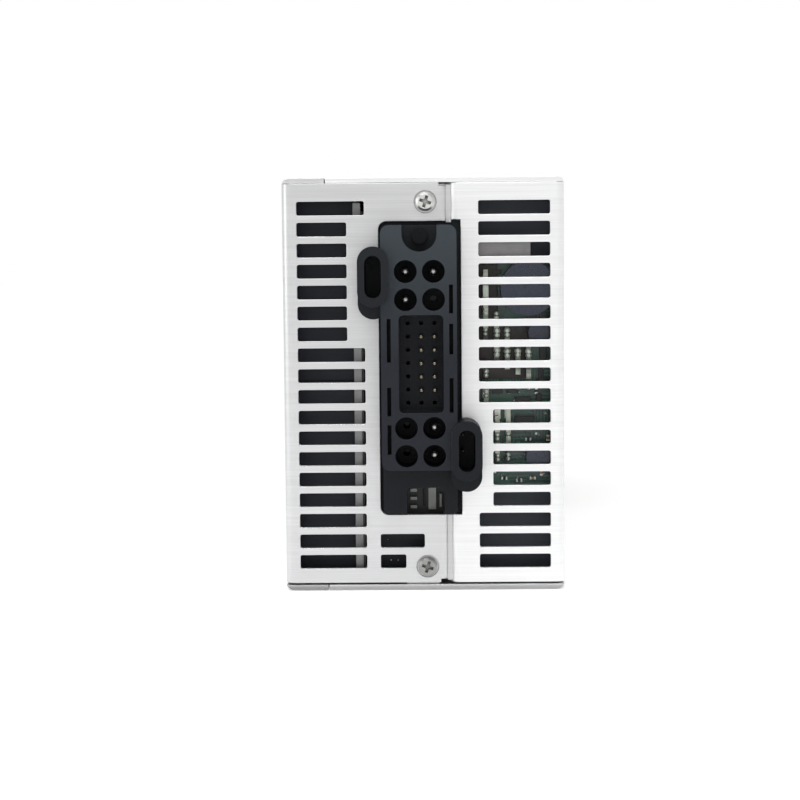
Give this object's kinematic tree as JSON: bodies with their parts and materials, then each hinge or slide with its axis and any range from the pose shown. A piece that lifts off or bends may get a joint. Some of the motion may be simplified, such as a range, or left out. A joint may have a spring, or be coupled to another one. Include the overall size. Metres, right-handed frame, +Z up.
{
  "type": "plug-in servo drive module",
  "caption": "Plug-in servo drive module: vented sheet-metal case with a rear drawer connector, and a front bezel with fan, display, keys and extraction lever.",
  "frame": {"origin": "bottom centre of the whole module's box", "axes": "+Z up, rear connector face towards -Y, operator front towards +Y, +X to the right seen from the rear"},
  "size_m": [0.081, 0.218, 0.1191],
  "materials": {
    "case_sheet": "brushed",
    "zinc_steel": "zinc plated",
    "connector_plastic": "moulded",
    "silver_plate": "silver plated",
    "gold_plate": "gold flash",
    "circuit_board": "solder mask",
    "chip_black": "moulded",
    "lead_tin": "tinned",
    "capacitor_sleeve": "shrink sleeve",
    "busbar_metal": "tinned copper",
    "plate_metal": "mill finish",
    "heat_sink_black": "black anodised",
    "liner_black": "film",
    "ferrite": "coated ferrite",
    "copper_wire": "enamelled",
    "transformer_tape": "polyester tape",
    "relay_blue": "moulded",
    "header_ivory": "moulded",
    "spacer_black": "moulded nylon",
    "bezel_plastic": "fine texture",
    "window_smoke": "smoked",
    "key_plastic": "fine texture",
    "led_green": "lens",
    "light_pipe_clear": "clear",
    "port_shell": "nickel plated",
    "dial_blue": "moulded",
    "dial_white": "moulded",
    "fan_plastic": "glass-filled",
    "guard_wire": "plated wire",
    "screw_black": "black oxide",
    "lever_plastic": "fine texture",
    "label_white": "polyester film"
  },
  "bodies": {
    "case": {"chassis": "case_sheet", "cover": "case_sheet", "case_screws": "zinc_steel", "clinch_nuts": "zinc_steel", "side_screws": "zinc_steel", "connector_housing": "connector_plastic", "power_pins": "silver_plate", "signal_pins": "gold_plate", "guide_contacts": "silver_plate", "connector_screws": "screw_black", "connector_board": "circuit_board", "board_chips": "chip_black", "board_leads": "lead_tin", "board_capacitors": "capacitor_sleeve", "bus_bar": "busbar_metal", "terminal_lugs": "lead_tin", "carrier_plate": "plate_metal", "heat_sink": "heat_sink_black", "insulation_sheet": "liner_black", "power_module": "chip_black", "power_board": "circuit_board", "dc_capacitors": "capacitor_sleeve", "choke_core": "ferrite", "choke_winding": "copper_wire", "transformer": "transformer_tape", "relays": "relay_blue", "board_link": "header_ivory", "lower_spacers": "spacer_black", "board_spacers": "spacer_black", "board_screws": "zinc_steel", "control_board": "circuit_board", "processor": "chip_black", "control_chips": "chip_black", "front_bezel": "bezel_plastic", "operator_board": "circuit_board", "display_module": "chip_black", "display_window": "window_smoke", "key_switches": "chip_black", "status_leds": "led_green", "light_pipes": "light_pipe_clear", "service_port": "port_shell", "port_contacts": "gold_plate", "dial_bodies": "dial_blue", "fan_frame": "fan_plastic", "fan_guard": "guard_wire", "fan_screws": "screw_black", "lever_pin": "zinc_steel", "rating_label": "label_white"},
    "fan_rotor_body": {"fan_rotor": "fan_plastic"},
    "lever_body": {"lever": "lever_plastic"},
    "key_up_body": {"key_up": "key_plastic"},
    "key_down_body": {"key_down": "key_plastic"},
    "key_mode_body": {"key_mode": "key_plastic"},
    "key_set_body": {"key_set": "key_plastic"},
    "dial_tens_body": {"dial_tens": "dial_white"},
    "dial_units_body": {"dial_units": "dial_white"}
  },
  "joints": [
    {"name": "fan_spin", "type": "hinge", "parent": "case", "child": "fan_rotor_body", "pos_m": [-0.0072, 0.08895, 0.037], "axis": [0, 1, 0], "continuous": true},
    {"name": "lever_swing", "type": "hinge", "parent": "case", "child": "lever_body", "pos_m": [0.031, 0.10415, 0.009], "axis": [-1, 0, 0], "range_deg": [0, 70]},
    {"name": "key_up_press", "type": "slide", "parent": "case", "child": "key_up_body", "axis": [0, -1, 0], "range_m": [0, 0.0008], "stiffness_N_per_m": 1500},
    {"name": "key_down_press", "type": "slide", "parent": "case", "child": "key_down_body", "axis": [0, -1, 0], "range_m": [0, 0.0008], "stiffness_N_per_m": 1500},
    {"name": "key_mode_press", "type": "slide", "parent": "case", "child": "key_mode_body", "axis": [0, -1, 0], "range_m": [0, 0.0008], "stiffness_N_per_m": 1500},
    {"name": "key_set_press", "type": "slide", "parent": "case", "child": "key_set_body", "axis": [0, -1, 0], "range_m": [0, 0.0008], "stiffness_N_per_m": 1500},
    {"name": "dial_tens_turn", "type": "hinge", "parent": "case", "child": "dial_tens_body", "pos_m": [0.0195, 0.09595, 0.0795], "axis": [0, 1, 0], "continuous": true},
    {"name": "dial_units_turn", "type": "hinge", "parent": "case", "child": "dial_units_body", "pos_m": [0.0315, 0.09595, 0.0795], "axis": [0, 1, 0], "continuous": true}
  ]
}
